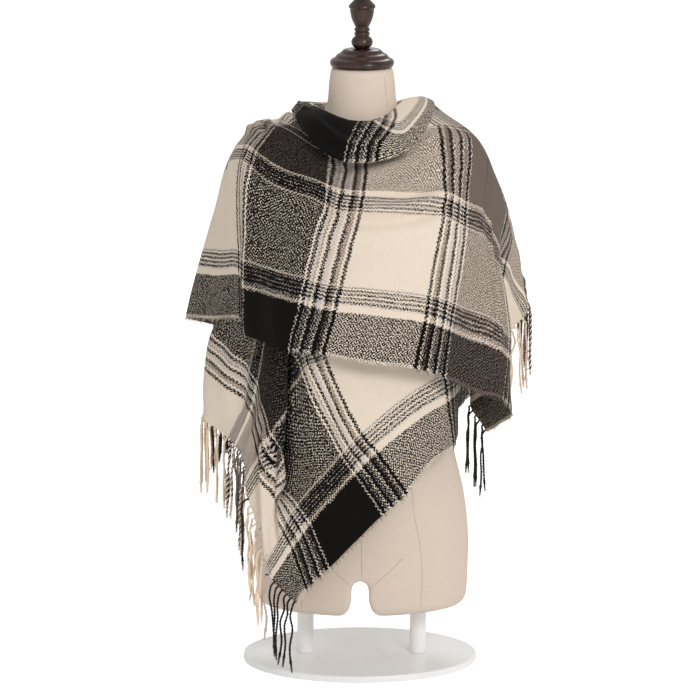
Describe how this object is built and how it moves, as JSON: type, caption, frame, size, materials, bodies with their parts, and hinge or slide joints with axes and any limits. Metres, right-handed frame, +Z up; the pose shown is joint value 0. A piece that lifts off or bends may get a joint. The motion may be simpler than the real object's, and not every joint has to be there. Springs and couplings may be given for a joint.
{
  "type": "blanket scarf on dress form",
  "caption": "Checked blanket scarf with twisted fringe, wound as a shawl with a turned-out collar round a limbless linen dress form on a plain stand.",
  "frame": {"origin": "centre of the base plate's underside, on the floor", "axes": "+Z up; the form's front faces -Y; +X is to the right of someone who looks at the front"},
  "size_m": [0.5007, 0.3465, 0.9818],
  "materials": {
    "woven_scarf": "soft brushed acrylic and wool twill in a large black, cream and taupe check",
    "twisted_fringe": "two-ply twisted yarn, cream, black and mixed",
    "linen_cover": "natural linen stretched over a smooth form, with sewn panel seams",
    "turned_wood": "dark brown satin varnish",
    "white_enamel": "white enamel, satin"
  },
  "bodies": {
    "root": {"scarf_front": "woven_scarf", "scarf_left_side": "woven_scarf", "scarf_right_end": "woven_scarf", "scarf_right_shoulder": "woven_scarf", "scarf_back": "woven_scarf", "scarf_under_right": "woven_scarf", "scarf_under_front": "woven_scarf", "scarf_collar_front": "woven_scarf", "scarf_collar_back": "woven_scarf", "fringe_a_corner": "twisted_fringe", "fringe_a_lower": "twisted_fringe", "fringe_a_middle": "twisted_fringe", "fringe_a_upper": "twisted_fringe", "fringe_b_corner": "twisted_fringe", "fringe_b_lower": "twisted_fringe", "fringe_b_upper": "twisted_fringe", "fringe_b_back": "twisted_fringe", "form_body": "linen_cover", "neck_cap": "turned_wood", "neck_finial": "turned_wood", "stand_base": "white_enamel", "stand_post_left": "white_enamel", "stand_post_right": "white_enamel"}
  },
  "joints": []
}
